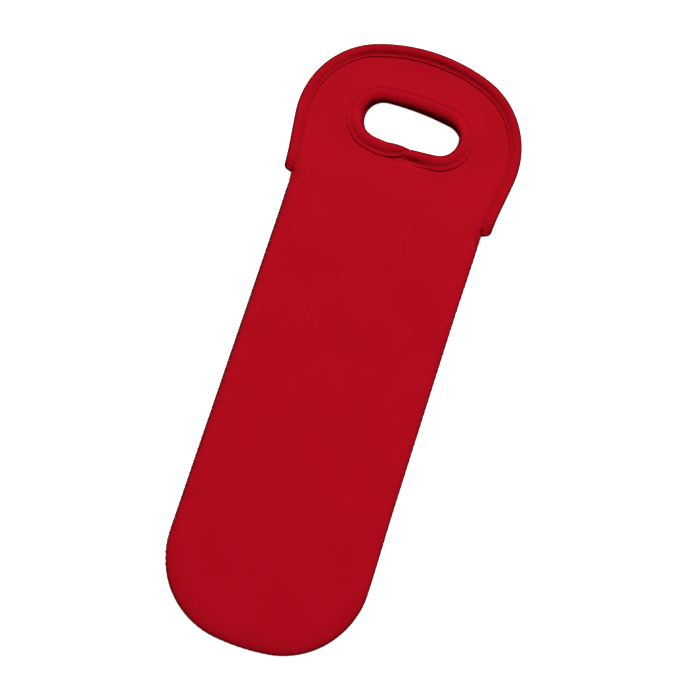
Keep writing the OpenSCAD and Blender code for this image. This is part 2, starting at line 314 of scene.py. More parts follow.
def inside(points, loop):
    """Which points lie inside a closed loop."""
    result = np.zeros(len(points), bool)
    for (ax, ay), (bx, by) in zip(loop, np.roll(loop, -1, 0)):
        if ay == by:
            continue
        between = (ay > points[:, 1]) != (by > points[:, 1])
        x = ax + (points[:, 1] - ay) * (bx - ax) / (by - ay)
        result ^= between & (points[:, 0] < x)
    return result


def nearest(points, loop):
    """The distance from each point to a loop's nearest point, and which one that is."""
    at_once = 500
    gaps, places = [], []
    for i in range(0, len(points), at_once):
        apart = np.linalg.norm(points[i : i + at_once, None] - loop[None], axis=2)
        gaps.append(apart.min(1))
        places.append(apart.argmin(1))
    return np.concatenate(gaps), np.concatenate(places)


# The outline that a sheet is cut to: round the bottom, up the right side and round the handle to the left

SHEET_STEP = SEAM_STITCH / STITCH_PARTS
EDGE_W = 18 * MM
HOLE_EDGE_W = 12 * MM
NOTCH_L = 8.5 * MM
NOTCH_STEPS = 60


def sheet_outline():
    """The outline's points, with the way out and the distance from the bottom's middle."""
    edge = head_right - SHEET_INSET * directions(head_right, False)[1]
    y = np.linspace(MOUTH_Y, MOUTH_Y + NOTCH_L, NOTCH_STEPS)
    from_side = mouth_half + (MOUTH_Y - y) * math.tan(side_lean)
    low = edge[:, 1] < MOUTH_Y + 3 * NOTCH_L
    from_head = np.interp(y, edge[low, 1], edge[low, 0])
    x = mix(from_side, from_head, smooth(y, MOUTH_Y, MOUTH_Y + NOTCH_L))
    right = np.concatenate([sleeve_right[:-1], np.stack([x, y], 1), edge[edge[:, 1] > MOUTH_Y + NOTCH_L]])
    points, s = resampled(right, SHEET_STEP)
    points = np.concatenate([points[:-1], mirrored(points)[:-1]])
    s = np.concatenate([s[:-1], s[::-1][:-1]])
    out = directions(points, True)[1]
    # Close to the notch the edge is measured straight across, so its rows don't cross
    share = hump(points[:, 1] - MOUTH_Y, -22 * MM, -10 * MM, 14 * MM, 28 * MM)
    across = np.stack([np.sign(points[:, 0]), np.zeros(len(points))], 1)
    return points, unit(mix(out, across, share[:, None])), s


outline, outline_out, outline_s = sheet_outline()


def hole_edge(side):
    """The sheet's own edge in the hand hole, under its tape, and the way out there."""
    points = resampled(hole_of(side), SHEET_STEP)[0][:-1]
    out = directions(points, True)[1]
    return points - SHEET_INSET * out, out


# The flat part of a sheet is cut from a larger field of even triangles
FIELD_HALF_W = 90 * MM
FIELD_HALF_L = 230 * MM
FIELD_PITCH = 3 * MM
FIELD_CLEAR = 1.6 * MM


def cut_sheet(hole_points, hole_out):
    """Points and triangles between the two edge strips, whose inner rings come first."""
    rim_ring = outline - EDGE_W * outline_out
    hole_ring = hole_points - HOLE_EDGE_W * hole_out
    xs = np.arange(-FIELD_HALF_W, FIELD_HALF_W, FIELD_PITCH)
    ys = np.arange(-FIELD_HALF_L, FIELD_HALF_L, FIELD_PITCH * math.sqrt(3) / 2)
    x, y = np.meshgrid(xs, ys)
    x = x + (np.arange(len(ys)) % 2)[:, None] * FIELD_PITCH / 2
    filling = np.stack([x.ravel(), y.ravel()], 1)
    filling = filling[inside(filling, rim_ring) & ~inside(filling, hole_ring)]
    rings = np.concatenate([rim_ring, hole_ring])
    filling = filling[nearest(filling, rings)[0] > FIELD_CLEAR]
    points = np.concatenate([rings, filling])
    n, m = len(rim_ring), len(hole_ring)
    edges = [(i, (i + 1) % n) for i in range(n)] + [(n + i, n + (i + 1) % m) for i in range(m)]
    enclosed_only, same_place = 1, 1e-6
    made = delaunay_2d_cdt([tuple(p / MM) for p in points], edges, [], enclosed_only, same_place)
    vertices, corners, sources = made[0], made[2], made[3]
    triangles = np.array([group[0] if group else -1 for group in sources])[np.array(corners)]
    if (triangles < 0).any() or len(vertices) != len(points):
        raise RuntimeError("the sheet's outline crosses itself")
    middle = points[triangles].mean(1)
    return points, triangles[inside(middle, rim_ring) & ~inside(middle, hole_ring)]


# The side seam on the left, on the right and at the bottom: its height over the sleeve's middle and, for
# each panel, how far in its roll and its valley are, and the roll's width. On some stretches both rolls are
# further in by DRAWN_IN.
SEAM_LIFT = np.array([0.9, -0.6, -0.4]) * MM
BULGE_IN = {"front": np.array([1.7, 0, 0.4]) * MM, "back": np.array([0, 0.3, 0]) * MM}
VALLEY_IN = {"front": np.array([2.9, 1.8, 1.6]) * MM, "back": np.array([1.6, 2.2, 1.6]) * MM}
ROLL_W = {"front": np.array([9.5, 9, 18]) * MM, "back": np.array([9, 9, 17]) * MM}
DRAWN_IN = np.array([0.3, 0.6, 0.3]) * MM


def side_share(y):
    """0 along the bottom of the sleeve and 1 along its sides."""
    return smooth(y, BOTTOM_Y + 25 * MM, BOTTOM_Y + 70 * MM)


def seam_shape(side):
    """One panel's seam at each station: height, insets of its roll and valley, the roll's width."""
    x, y = outline.T
    beside = side_share(y)
    parts = np.stack([beside * (x < 0), beside * (x > 0), 1 - beside], 1)
    reach = np.ones(parts.shape)
    reach[:, 0] = 1 - smooth(y, 80 * MM, 105 * MM)
    reach[:, 1] = hump(y, -150 * MM, -90 * MM, 40 * MM, 95 * MM)
    lift = parts @ SEAM_LIFT * (1 if side == "front" else -1)
    bulge_in = parts @ BULGE_IN[side] + (parts * reach) @ DRAWN_IN
    return lift, bulge_in, parts @ VALLEY_IN[side], parts @ ROLL_W[side]


def bulge_height(lift):
    """Height of a panel's roll over the sleeve's middle, where its seam is lifted."""
    return np.maximum(lift, -0.2 * MM) + 2.1 * MM


# Beside the notches a flap's edge turns towards the seam: how far, and over what length and width
END_DROP = {"front": 4.6 * MM, "back": -0.1 * MM}
END_L = 13 * MM
END_W = 9.5 * MM


def end_share(distance):
    """Share of that turn at a distance from the end of a rim tape."""
    return (1 - np.clip(distance / END_L, 0, 1)) ** 2


def end_turn(side, from_end, inset):
    """How far a flap's edge is turned down there, at an inset from it."""
    return END_DROP[side] * end_share(from_end) * (1 - np.clip(inset / END_W, 0, 1)) ** 2


# The front flap's roll leans into the hand hole at the top left, where the way out is LEAN_WAY. There its
# crest is further in and lower, the tape wider and its edge let down.
LEAN_WAY = np.array([0.6, -0.8])
LEANT_CREST_IN = 5.0 * MM
LEANT_ROLL_LESS = 0.75 * MM
LEANT_MORE = 0.4 * MM
LEANT_DROP = 1.6 * MM


def lean_share(side, out):
    """How far a flap's roll leans into the hand hole, by the way out of the sheet."""
    return smooth(out @ LEAN_WAY, -0.3, 0.7) * (side == "front")


def leant_lower(inset, leant):
    """How far the leaning roll is let down at an inset from its edge."""
    return LEANT_DROP * leant * np.clip(1 - inset / (GRIP_SEWN_IN + LEANT_MORE), 0, 1) ** 2


# The tapes' rolls lie on each other, so the thinner sheet sags between them, and the tapes tilt towards it.
# The sag grows over about SAG_L, longer by SIDE_WIDER along the flap's sides.
SAG = {"front": 3.4 * MM, "back": 1.1 * MM}
SAG_L = 8 * MM
SAG_EASE = 0.6 * MM
SIDE_WIDER = 1.2
RIM_SAG_START = 5.1 * MM
HOLE_SAG_START = 6.9 * MM
LEANT_SAG = 0.3
SAG_FROM_Y = MOUTH_Y + 2 * MM
SAG_FULL_Y = MOUTH_Y + 45 * MM

# The way down, for heights that count outwards from each flap
DOWN = {"front": -1, "back": 1}


def sag_share(inset, start, leant, wide):
    """Share of the full sag at an inset from a tape's edge."""
    d = np.maximum(inset - start, 0)
    return 1 - (1 - LEANT_SAG * leant) * np.exp(-d * d / (d + SAG_EASE) / (SAG_L * (1 + leant + wide)))


def sagged(side, inset, y, start, leant, wide):
    """How far a flap sags at an inset from a tape's edge."""
    return SAG[side] * smooth(y, SAG_FROM_Y, SAG_FULL_Y) * sag_share(inset, start, leant, wide)


def sheet_sag(side, xy, hole_points, hole_out):
    """How far a sheet sags, by its distances from both its tapes' edges."""
    on_flap = outline[:, 1] > SAG_FROM_Y
    edge, edge_out = outline[on_flap][::2], outline_out[on_flap][::2]
    from_rim, place = nearest(xy, edge)
    from_rim += SHEET_INSET
    wide = SIDE_WIDER * edge_out[place, 0] ** 2
    from_hole, place = nearest(xy, hole_points)
    from_hole += SHEET_INSET
    leant = lean_share(side, hole_out)[place]
    sag = sagged(side, from_rim, xy[:, 1], RIM_SAG_START, 0, wide)
    sag *= sag_share(from_hole, HOLE_SAG_START, leant, 0)
    return sag + leant_lower(from_hole, leant)


def squeezed(inset, stitch_in):
    """Share of the thickness that the stitches leave, at an inset from the sheet's own edge."""
    d = inset - stitch_in + SHEET_INSET
    return 1 - 0.3 * bell(d, 0, np.where(d > 0, 4.2 * MM, 1.4 * MM))


# Beside the lap of its hand-hole tape the front flap is pressed down
DENT_X = 7.5 * MM
DENT_BELOW_HOLE = 8.2 * MM
DENT_W = 8 * MM
DENT_H = 2.4 * MM
DENT_DEPTH = 2.1 * MM


def dent(points):
    """Depth of that dent."""
    y = hole_of("front")[:, 1].min() - DENT_BELOW_HOLE
    return DENT_DEPTH * bell(points[..., 0], DENT_X, DENT_W) * bell(points[..., 1], y, DENT_H)


SETTLE_H = 0.6 * MM


def settled(z):
    """Heights over the floor: what would reach into it is pressed flat."""
    return np.where(z < SETTLE_H, SETTLE_H * np.exp(np.minimum(z / SETTLE_H - 1, 0)), z)


def over_floor(side, points, middle):
    """Heights over the floor, of points whose heights count outwards from a middle."""
    if side == "front":
        return middle + points[..., 2] - dent(points)
    return settled(middle - points[..., 2])


def outwards(side, faces):
    """Faces that look out of their piece: the back's are turned over."""
    return faces if side == "front" else [face[::-1] for face in faces]


# The sheet

# Columns of a sheet's edge strip: one on its upper face, then so many over the seam's roll and down into
# its valley. Next is the turned edge, with shares of the way from the gap between the panels to the valley
# or, past TURN_BACK_IN, to the pocket.
ROLL_COLUMNS = 15
VALLEY_COLUMNS = 5
TURNED_IN = np.array([3.6, 5.6, 6.3, 6.8, 7.6, 11]) * MM
TURNED_SHARES = np.array([0.5, 0, 0.35, 1, 1, 1])
TURN_BACK_IN = 6 * MM
PANEL_GAP = 0.1 * MM

# How many columns are outside the pocket, and between which two the seam valley's painted shade lies
OUTER_COLUMNS = 22
VALLEY_SHADE_COLUMNS = (17, 26)

# Plain cut edges: columns over the sheet, then insets in mm and shares of half the thickness round its
# edge, then the first inset below the sheet and the columns there
RIM_EDGE = (16, ((0.15, 0.8), (0, 0.4), (0, -0.4), (0.15, -0.8), (0.5, -1)), 1.5 * MM, 7)
HOLE_EDGE = (8, ((0.1, 0.6), (0.1, -0.6), (0.5, -1)), 3 * MM, 5)


def sheet_faces(side, y):
    """Heights of a sheet's two faces over the sleeve's middle."""
    rise = MOUTH_RISE[side] * smooth(y, RISE_Y, MOUTH_Y)
    return SLEEVE_T / 2 - rise, POCKET_H / 2 - rise


def seamed_edge(side, top, under):
    """Insets and heights of a sewn edge: over the roll, into the valley, and turned back inside."""
    lift, bulge_in, valley_in, roll_w = (v[:, None] for v in seam_shape(side))
    bulge_h = bulge_height(lift)
    valley_h = lift + PANEL_GAP
    over = np.radians(np.linspace(90, 0, ROLL_COLUMNS))
    down = np.radians(np.linspace(90, 0, VALLEY_COLUMNS + 1)[1:])
    flat_in = EDGE_W + 0 * lift
    roll_in = mix(bulge_in, roll_w, 1 - np.cos(over))
    down_in = mix(bulge_in, valley_in, 1 - np.sin(down))
    inset = np.concatenate([flat_in, roll_in, down_in, TURNED_IN + 0 * lift, flat_in], 1)
    roll_h = mix(bulge_h, top, np.sin(over))
    down_h = mix(valley_h, bulge_h, np.sin(down))
    turned_h = mix(PANEL_GAP, np.where(TURNED_IN < TURN_BACK_IN, valley_h, under), TURNED_SHARES)
    height = np.concatenate([top, roll_h, down_h, turned_h, under], 1)
    return inset, height, bulge_in


def cut_edge(width, edge, top, stitch_in):
    """Insets and heights of a plain cut edge, inside its tape, whose stitches squeeze it."""
    over_columns, rounding, below_in, below_columns = edge
    rounded_in, rounded_share = np.array(rounding).T
    over = np.linspace(width, 0.5 * MM, over_columns)
    below = np.linspace(below_in, width, below_columns)
    inset = np.concatenate([over, rounded_in * MM, below])[None]
    share = np.concatenate([np.ones(over_columns), rounded_share, -np.ones(below_columns)])
    half = SHEET_T / 2
    return inset, half * share * squeezed(inset, stitch_in) + top - half


def edge_strip(side):
    """A sheet's edge round its outline, in rows across: points, insets and painted shade."""
    x, y = outline[:, 0:1], outline[:, 1:2]
    s, right = outline_s[:, None], x > 0
    top, under = sheet_faces(side, y)
    seamed = 1 - smooth(y, MOUTH_Y - 14 * MM, MOUTH_Y + 0.5 * MM)
    seam_in, seam_h, bulge_in = seamed_edge(side, top, under)
    plain_in, plain_h = cut_edge(EDGE_W, RIM_EDGE, top, RIM_SEWN_IN)
    inset = mix(plain_in, seam_in, seamed)
    height = mix(plain_h, seam_h, seamed)

    # The thread pinches the edge at each stitch, and puckers run in from it
    column = np.arange(inset.shape[1])[None]
    outer = column < OUTER_COLUMNS
    stitch = np.cos(TURN * s / SEAM_STITCH)
    pinch = (0.5 + 0.5 * stitch) ** 3 * seamed * outer
    from_edge = np.maximum(inset - bulge_in, 0)
    inset = inset + 0.3 * MM * pinch * np.exp(-from_edge / (1.2 * MM)) * (from_edge < 8 * MM)
    height = height - 0.22 * MM * pinch * np.exp(-from_edge / (2.5 * MM))
    pucker_seed = 21 if side == "front" else 22
    pucker = waves(pucker_seed, 9, 21 * MM, 7 * MM)(np.where(right, s, -s) + 0.7 * inset)
    left_s = 700 * MM - s
    strength = 0.55 + 0.45 * waves(23, 5, 120 * MM, 40 * MM)(np.where(right, s, left_s))
    reach = hump(inset, 1 * MM, 4 * MM, 6 * MM, EDGE_W - 1 * MM)
    height = height + 0.13 * MM * pucker * strength * reach * outer * seamed
    height = height - end_turn(side, y - FLAP_Y, inset + SHEET_INSET) * (1 - seamed)

    # The seam's roll gets painted shade towards its edge, most along the bottom, and between the stitches
    # its valley gets dark painted shade in the gaps between the thread loops
    beside = side_share(y)
    edge_shade = mix(0.95, mix(0.5, 0.7 - 0.2 * stitch, right), beside)
    edge_shade = edge_shade * smooth(column, 8.8, mix(13.5, mix(15.5, 12.0, right), beside))
    valley_shade = 0.2 + 0.8 * (0.5 - 0.5 * stitch) ** 1.3
    dark = np.where(column < VALLEY_SHADE_COLUMNS[0], edge_shade, valley_shade * (column < VALLEY_SHADE_COLUMNS[1])) * seamed
    return rows_in(outline, outline_out, inset, height), inset, dark


def hole_strip(side, hole_points, hole_out):
    """A sheet's edge round its hand hole, in rows across: points and insets."""
    top = sheet_faces(side, MOUTH_Y)[0]
    stitch_in = GRIP_SEWN_IN + LEANT_MORE * lean_share(side, hole_out)[:, None]
    inset, height = cut_edge(HOLE_EDGE_W, HOLE_EDGE, top, stitch_in)
    return rows_in(hole_points, hole_out, inset, height), inset


def unevenness(side, x, y):
    """How far the sheet is from flat."""
    seed = 31 if side == "front" else 32
    wide = waves(seed, 12, 130 * MM, 55 * MM, True)(x, y)
    small = waves(seed + 2, 14, 40 * MM, 18 * MM, True)(x, y)
    uneven = (0.16 * wide + 0.035 * small) * MM
    return uneven if side == "front" else np.minimum(uneven, 0)


def panel(side):
    """One sheet of the carrier, a sleeve half with its flap, in one closed mesh."""
    hole_points, hole_out = hole_edge(side)
    strip, strip_in, strip_dark = edge_strip(side)
    ring, ring_in = hole_strip(side, hole_points, hole_out)
    plan, triangles = cut_sheet(hole_points, hole_out)
    n, columns = strip.shape[:2]
    m, hole_columns = ring.shape[:2]
    filling = plan[n + m :]
    above, below = (np.hstack([filling, h]) for h in sheet_faces(side, filling[:, 1:]))
    points = np.concatenate([strip.reshape(-1, 3), ring.reshape(-1, 3), above, below])

    # The flat part joins the strips' first points above and their last below
    first_ring = n * columns
    first_above = first_ring + m * hole_columns
    field_points = first_above + np.arange(len(filling))
    ring_starts = first_ring + np.arange(m) * hole_columns
    upper = np.concatenate([np.arange(n) * columns, ring_starts, field_points])
    lower = upper + np.repeat([columns - 1, hole_columns - 1, len(filling)], [n, m, len(filling)])
    faces = grid_faces(n, columns, True, False)
    faces += grid_faces(m, hole_columns, True, False, first_ring)
    faces += upper[triangles].tolist()
    faces += lower[triangles[:, ::-1]].tolist()

    calm = np.ones(len(points))
    calm[:first_ring] = smooth(strip_in, 2 * MM, EDGE_W).ravel()
    calm[first_ring:first_above] = smooth(np.tile(ring_in[0], m), 7 * MM, HOLE_EDGE_W)
    points[:, 2] += calm * unevenness(side, points[:, 0], points[:, 1])
    points[:, 2] += DOWN[side] * sheet_sag(side, points[:, :2], hole_points, hole_out)
    cloth = points * [1, 1, 0]
    dark = np.zeros(len(points))
    # The edge strip's painted shade
    dark[:first_ring] = strip_dark.ravel()
    points[:, 2] = over_floor(side, points, SEAM_Z)
    return points, outwards(side, faces), cloth, dark


# Tapes


class Course:
    """The line that a tape runs along, with distances and the ways along and out."""

    def __init__(self, points):
        self.points = points
        self.s = distances(points)
        self.along, self.out = directions(points, False)
        self.length = self.s[-1]

    def place(self, inset, height, ahead):
        """Points for arrays of stations by columns."""
        points = rows_in(self.points, self.out, inset, height)
        points[..., :2] += ahead[:, :, None] * self.along[:, None]
        return points


TAPE_STEP = TAPE_STITCH / STITCH_PARTS
rim_course = Course(resampled(np.concatenate([head_right, mirrored(head_right)]), TAPE_STEP)[0])

# The hand-hole tape's lap: how far its free end and the end under it reach past the middle of the hole's
# lower side, and over what length the free end runs out to a point
LAP_REACH = 4.1 * MM
LAP_UNDER = 10.5 * MM
LAP_L = 5 * MM


def grip_line(side):
    """Clockwise round the hand hole, from the lap's free end to the end under it."""
    points, s = resampled(hole_of(side), LINE_STEP)
    length = s[-1]
    at = np.arange(-LAP_REACH, length - LAP_REACH + LAP_UNDER, TAPE_STEP)
    return np.stack([np.interp(at % length, s, points[:, k]) for k in (0, 1)], 1)


# A tape's section: the flange's height, the thin edge, in from the tape's width and down from that height,
# the stitches' groove, in steps from their line and shares of its depth, and the climb to the crest. Along
# the flap's sides the climb is more even and the crest lower.
FLANGE_H = 1.75 * MM
THIN_EDGE_IN = np.array([0, 0.12, 0.4, 0.8]) * MM
THIN_EDGE_DOWN = np.array([0.7, 0.15, -0.22, -0.24]) * MM
GROOVE_STEPS = np.array([0.9, 0.55, 0.25, 0, -0.25, -0.5, -0.75]) * MM
GROOVE_SHARES = np.array([0.1, 0.5, 0.88, 1, 0.88, 0.5, 0.2])
GROOVE_FIRST = len(THIN_EDGE_IN)
GROOVE_MIDDLE = GROOVE_FIRST + int(GROOVE_SHARES.argmax())
GROOVE_END = GROOVE_FIRST + len(GROOVE_STEPS)
CREST_RISE = 0.3 * MM
CLIMB = 1.9
EVEN_CLIMB = 1.25
EVEN_LESS = 0.6 * MM
ROLL_SQUARENESS = 0.8


def tape_profile(width, roll_r, stitch_in, crest_in, climb):
    """Insets and heights over a tape's upper face, from its thin edge outwards."""
    crest_h = roll_r + CREST_RISE
    groove = stitch_in + GROOVE_STEPS
    ease = np.linspace(0, 1, 9)[1:]
    roll = np.radians(np.linspace(90, 0, 12)[1:])
    over_in = crest_in * (1 - np.cos(roll) ** ROLL_SQUARENESS)
    insets = [width - THIN_EDGE_IN, groove, mix(groove[-1], crest_in, ease), over_in]
    climbed = mix(crest_h, FLANGE_H, (1 - ease) ** climb)
    over_h = crest_h * np.sin(roll) ** ROLL_SQUARENESS
    heights = [FLANGE_H - THIN_EDGE_DOWN, FLANGE_H + 0 * groove, climbed, over_h]
    return np.concatenate(insets), np.concatenate(heights)


# A tape's width, its roll's radius, and how far in its stitches and its crest are
RIM_SIZES = (RIM_TAPE_W, RIM_ROLL_R, RIM_SEWN_IN, RIM_CREST_IN)
GRIP_SIZES = (GRIP_TAPE_W + GRIP_SPREAD, GRIP_ROLL_R, GRIP_SEWN_IN, GRIP_CREST_IN)


def tape_surface(course, sizes, seed, tight, leant, stands, even):
    """Insets, heights and offsets along the course of a tape's outside, upper face first.

    Each station has its tightness of stitches, lean into the hole, lift of the thin edge and even climb.
    """
    width, roll_r, stitch_in, crest_in = sizes
    tight, leant, stands, even = (v[:, None] for v in (tight, leant, stands, even))
    plain_in, steep_h = tape_profile(width, roll_r, stitch_in, crest_in, CLIMB)
    even_h = tape_profile(width, roll_r - EVEN_LESS, stitch_in, crest_in, EVEN_CLIMB)[1]
    plain_h = mix(steep_h, even_h, even)
    leant_in, leant_h = tape_profile(
        width + LEANT_MORE, roll_r - LEANT_ROLL_LESS, stitch_in + LEANT_MORE, LEANT_CREST_IN, CLIMB
    )
    lower = leant_lower(leant_in, leant)
    sewn_in = stitch_in + LEANT_MORE * leant
    s = course.s[:, None]
    phase = TURN * s / TAPE_STITCH
    # The stitches pull less near the ends
    pulled = mix(0.2, 1.0, smooth(np.minimum(s, course.length - s), 1 * MM, 9 * MM))
    stitch = (0.5 + 0.5 * np.cos(phase)) ** 2 * pulled
    faces = []
    for face in (0, 1):
        inset = mix(plain_in, leant_in, leant)
        height = mix(plain_h, leant_h, leant)
        depth = mix(0.07 + 0.22 * stitch, 0.2 + 0.35 * stitch, tight)
        depth = (depth + 0.05 * waves(seed + 5 + face, 8, 30 * MM, 8 * MM)(s)) * MM
        height[:, GROOVE_FIRST:GROOVE_END] -= depth * GROOVE_SHARES
        # The stitches pucker the roll, and it swells a little between them
        roll_share = hump(inset, 0.5 * MM, 2.5 * MM, sewn_in - 1.4 * MM, sewn_in - 0.6 * MM)
        height -= 0.07 * MM * np.cos(phase + 0.25 * inset / MM) * roll_share * pulled
        height += 0.10 * MM * waves(seed + face, 8, 60 * MM, 14 * MM)(s + 0.5 * inset) * roll_share
        # The thin edge is drawn in between the stitches, wanders and may stand up
        edge_share = smooth(inset, sewn_in + 0.3 * MM, sewn_in + width - stitch_in - 0.3 * MM)
        wander = waves(seed + 2 + face, 7, 50 * MM, 12 * MM)(s)
        inset += (0.16 * wander - 0.13 * np.cos(phase) * pulled) * MM * edge_share
        height -= mix(0.18, 0.10, tight) * MM * np.cos(phase + 0.5) * edge_share * pulled
        height[:, 1:GROOVE_FIRST] += np.array([0.1, 0.25, 0.25]) * MM * stands
        height -= (1 if face == 0 else -1) * lower
        faces.append((inset, height))
    (over_in, over_h), (under_in, under_h) = faces
    inset = np.concatenate([over_in, under_in[:, -2::-1]], 1)
    height = np.concatenate([over_h, -under_h[:, -2::-1]], 1)
    return inset, height, np.zeros(inset.shape)


# How much shorter a rim tape's ends are, at the outer and the inner edge
END_CUT_LEFT = (1.3 * MM, 0.3 * MM)
END_CUT_RIGHT = (0.3 * MM, -1.4 * MM)


def bound_rim(inset, height, ahead, side):
    """Shapes a rim tape's ends at the notches, and turns them towards the seam."""
    from_start = rim_course.s[:, None]
    from_end = rim_course.length - from_start
    near = np.minimum(from_start, from_end)
    sign = np.where(from_start < from_end, 1.0, -1.0)
    across = np.clip(inset / RIM_TAPE_W, 0, 1)
    # A round lower corner, an inner edge that runs out to the seam, and a slanted cut
    corner = np.sqrt(np.maximum(TAPE_CORNER_R**2 - np.maximum(TAPE_CORNER_R - near, 0) ** 2, 0))
    taper = 2.9 * MM * (1 - smooth(near, 0, 10 * MM))
    inset = inset + (TAPE_CORNER_R - corner) * (1 - across) - taper * across
    shorter = mix(mix(*END_CUT_LEFT, across), mix(*END_CUT_RIGHT, across), rim_course.points[:, 0:1] > 0)
    ahead = ahead + sign * shorter * (1 - smooth(near, 0, 9 * MM))
    # The roll and the flange are thinner towards the end
    height = height * (1 - 0.35 * (1 - smooth(near, 0, 4.5 * MM)) ** 2 * (1 - across))
    height = height * (1 - 0.33 * (1 - smooth(near, 1 * MM, 9 * MM)) * across)
    return inset, height - end_turn(side, near, inset), ahead


# How far the hand-hole tape bulges into the hole, where and over what length, in mm, by its two ends
FREE_END_BULGES = ((0.1, 9.5, 4), (-0.5, 20, 5), (-1.3, 0.5, 2.4))
UNDER_END_BULGES = ((0.1, 3.5, 3.5), (-0.5, -1.5, 2.5))


def lapped(inset, height, ahead, course):
    """Lays one end of the hand-hole tape over the other."""
    s = course.s[:, None]
    left = course.length - s
    over = hump(s, -1 * MM, 4 * MM, 5 * MM, 17 * MM)
    under = 1 - smooth(left, 9 * MM, 20 * MM)
    grown = 0.5 * MM * (over - under)
    bulge = 0
    for distance, bulges in ((s, FREE_END_BULGES), (left - LAP_UNDER, UNDER_END_BULGES)):
        for size, at, length in bulges:
            bulge += size * MM * bell(distance, at * MM, length * MM)
    nose = 1 - smooth(inset, 0, 4 * MM)
    inset = inset - (0.6 * grown + bulge) * nose + 0.9 * MM * bell(s, 22 * MM, 8 * MM)
    height = height * (1 + grown / (2.4 * MM))
    # The free end runs out to a flat point at the edge of the hole
    inset = inset * (1 - 0.95 * np.exp(-s / LAP_L))
    height = height * (1 - 0.4 * np.exp(-s / (2.5 * MM)))
    return inset, height, ahead


def slot_lining(inset, height, ahead):
    """The inside of a folded tape, which faces the sheet."""
    size = np.abs(height)
    lined_h = np.sign(height) * np.minimum(size, np.clip(size - 0.35 * MM, 0.1 * MM, SLOT_HALF_H))
    return np.maximum(inset, TAPE_T), lined_h, ahead


def laid(course, shaped, side, start, leant, wide):
    """The tape's shape, let down with the sheet that it holds."""
    inset, height, ahead = shaped
    lower = sagged(side, inset, course.points[:, 1:2], start, leant[:, None], wide[:, None])
    return inset, height + DOWN[side] * lower, ahead


def tape_mesh(course, shaped, lining, side, edge_shade):
    """A tape's outside and lining in one closed mesh, with painted shade on its outermost fold."""
    outer = course.place(*shaped)
    rows, columns = outer.shape[:2]
    ring = np.concatenate([outer, course.place(*lining)[:, ::-1]], 1)
    faces = grid_faces(rows, 2 * columns, False, True)
    last = (rows - 1) * 2 * columns
    for j in range(columns - 1):
        k = 2 * columns - 1 - j
        faces.append([j + 1, j, k, k - 1])
        faces.append([last + j, last + j + 1, last + k - 1, last + k])
    cloth = cloth_of(ring, distances(ring[rows // 2]), course.s[:, None])
    dark = np.zeros(ring.shape[:2])
    # Painted shade on the outermost fold of the tape's outside
    dark[:, :columns] = (1 - smooth(shaped[0], 0.7 * MM, 2.6 * MM)) * edge_shade[:, None]
    ring[..., 2] = over_floor(side, ring, FLAP_Z[side])
    return ring, outwards(side, faces), cloth, dark


# Threads


def tube(path, across, up, radius):
    """Points and faces of a closed-ended tube along a path."""
    a = TURN * np.arange(THREAD_SIDES)[:, None] / THREAD_SIDES
    way = np.cos(a) * across[:, None] + np.sin(a) * up[:, None]
    ring = path[:, None] + radius[:, None, None] * way
    faces = grid_faces(len(path), THREAD_SIDES, False, True)
    faces.append(list(range(THREAD_SIDES))[::-1])
    last = (len(path) - 1) * THREAD_SIDES
    faces.append([last + i for i in range(THREAD_SIDES)])
    return ring, faces


def stitch_row(course, shaped, column, face, side):
    """A thread that lies in a tape's groove and dips into it at each stitch."""
    inset, height, ahead = (v[:, column : column + 1] for v in shaped)
    phase = TURN * course.s[:, None] / TAPE_STITCH
    arch = 0.30 * MM * np.sqrt(np.maximum(1 - (0.5 + 0.5 * np.cos(phase)) ** 2, 0)) - 0.12 * MM
    height = height + face * (arch + 0.2 * THREAD_R)
    line = course.place(inset, height, ahead)[:, 0]
    line[:, 2] = over_floor(side, line, FLAP_Z[side])
    across = np.pad(-course.out, ((0, 0), (0, 1)))
    radius = THREAD_R * (0.9 + 0.1 * np.cos(phase[:, 0] * 2))
    ring, faces = tube(line, across, np.array([[0.0, 0.0, 1.0]]), radius)
    around = TURN * np.arange(THREAD_SIDES) / THREAD_SIDES
    return ring, faces, cloth_of(ring, around, course.s[:, None])


def joined(parts):
    """Several (points, faces, cloth) as one."""
    points, faces, cloth, count = [], [], [], 0
    for p, f, c in parts:
        points.append(p.reshape(-1, 3))
        cloth.append(c.reshape(-1, 3))
        faces += [[i + count for i in face] for face in f]
        count += len(points[-1])
    return np.concatenate(points), faces, np.concatenate(cloth)


def seam_loop(place, out, along, front_in, back_in, lift):
    """Path of one stitch of the side seam, from the front panel's roll over the edge."""
    high, low = bulge_height(lift), -bulge_height(-lift)
    between = (front_in + back_in) / 2
    # Inset, height over the middle of the sleeve, and distance along the seam
    spots = [
        (front_in + 1.7 * MM, high + 0.7 * MM, -0.75 * MM),
        (front_in + 1.2 * MM, high + 1.15 * MM, -0.6 * MM),
        (front_in + 0.35 * MM, high + 0.45 * MM, -0.35 * MM),
        (between + 0.1 * MM, mix(high, low, 0.3), 0),
        (back_in + 0.05 * MM, mix(high, low, 0.62), 0.2 * MM),
        (back_in + 0.2 * MM, low - 0.2 * MM, 0.45 * MM),
        (back_in + 1.1 * MM, low - 1.0 * MM, 0.7 * MM),
    ]
    return np.array([[*(place - inset * out + ahead * along), SEAM_Z + h] for inset, h, ahead in spots])


